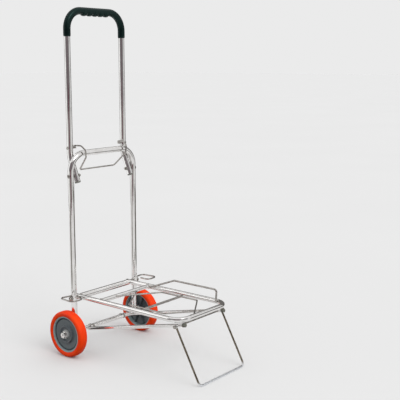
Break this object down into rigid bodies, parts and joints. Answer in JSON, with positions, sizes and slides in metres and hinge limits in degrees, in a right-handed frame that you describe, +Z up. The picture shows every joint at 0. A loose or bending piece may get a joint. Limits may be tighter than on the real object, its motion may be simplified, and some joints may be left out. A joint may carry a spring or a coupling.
{
  "type": "folding luggage cart",
  "caption": "Folding two-wheeled luggage cart with a bent-tube frame, fold-down handle, hinged platform and a wire stand.",
  "frame": {"origin": "on the floor at the middle of the unfolded cart's outline", "axes": "+Z up, -Y towards the platform's front, X along the wheel axle with +X on the guard rail's side"},
  "size_m": [0.3986, 0.572, 1.1055],
  "materials": {
    "tube_steel": "polished",
    "hardware_steel": "zinc plated",
    "black_plastic": "moulded",
    "grip_rubber": "smooth moulded",
    "tyre_rubber": "satin",
    "hub_plastic": "moulded"
  },
  "bodies": {
    "frame": {"main_frame": "tube_steel", "frame_end_plugs": "black_plastic", "tie_down_hook_left": "tube_steel", "tie_down_hook_right": "tube_steel", "axle": "tube_steel", "axle_sleeve": "tube_steel", "axle_spacers": "hardware_steel", "axle_washers": "hardware_steel", "axle_nuts": "hardware_steel", "platform_pivot_rod": "tube_steel", "crossbar": "tube_steel", "pivot_spacers": "hardware_steel", "pivot_rod_nuts": "hardware_steel", "handle_pivot_bolts": "hardware_steel", "handle_pivot_washers": "hardware_steel", "handle_pivot_nuts": "hardware_steel"},
    "handle": {"handle_tube": "tube_steel", "handle_end_plugs": "black_plastic", "handle_grip": "grip_rubber", "latch_pins": "hardware_steel"},
    "latch": {"latch_wire": "tube_steel"},
    "platform": {"platform_frame": "tube_steel", "platform_end_plugs": "black_plastic", "rear_cross_tube": "tube_steel", "middle_rod": "tube_steel", "deck_wire_left": "tube_steel", "deck_wire_right": "tube_steel", "guard_rail": "tube_steel"},
    "strut": {"strut_frame": "tube_steel", "strut_lugs": "tube_steel", "strut_end_caps": "black_plastic", "stand_pivot_rod": "hardware_steel", "stand_rod_caps": "hardware_steel"},
    "stand": {"stand_sleeves": "tube_steel", "stand_wire": "tube_steel"},
    "wheel_left": {"tyre_left": "tyre_rubber", "hub_left": "hub_plastic", "hub_bush_left": "hardware_steel"},
    "wheel_right": {"tyre_right": "tyre_rubber", "hub_right": "hub_plastic", "hub_bush_right": "hardware_steel"}
  },
  "joints": [
    {"name": "handle_fold", "type": "hinge", "parent": "frame", "child": "handle", "pos_m": [0, 0.211, 0.582], "axis": [-1, 0, 0], "range_deg": [0, 173]},
    {"name": "latch_turn", "type": "hinge", "parent": "frame", "child": "latch", "pos_m": [0, 0.211, 0.651], "axis": [1, 0, 0], "range_deg": [0, 110]},
    {"name": "platform_fold", "type": "hinge", "parent": "frame", "child": "platform", "pos_m": [0, 0.211, 0.187], "axis": [-1, 0, 0], "range_deg": [0, 82]},
    {"name": "strut_fold", "type": "hinge", "parent": "frame", "child": "strut", "pos_m": [0, 0.211, 0.075], "axis": [-1, 0, 0], "range_deg": [0, 67.5]},
    {"name": "stand_fold", "type": "hinge", "parent": "strut", "child": "stand", "pos_m": [0, -0.193, 0.166], "axis": [1, 0, 0], "range_deg": [0, 102]},
    {"name": "wheel_left_spin", "type": "hinge", "parent": "frame", "child": "wheel_left", "pos_m": [-0.169, 0.211, 0.075], "axis": [1, 0, 0], "continuous": true},
    {"name": "wheel_right_spin", "type": "hinge", "parent": "frame", "child": "wheel_right", "pos_m": [0.169, 0.211, 0.075], "axis": [1, 0, 0], "continuous": true}
  ],
  "couplings": [
    {"joint": "strut_fold", "follows": "platform_fold", "ratio": 0.82}
  ]
}
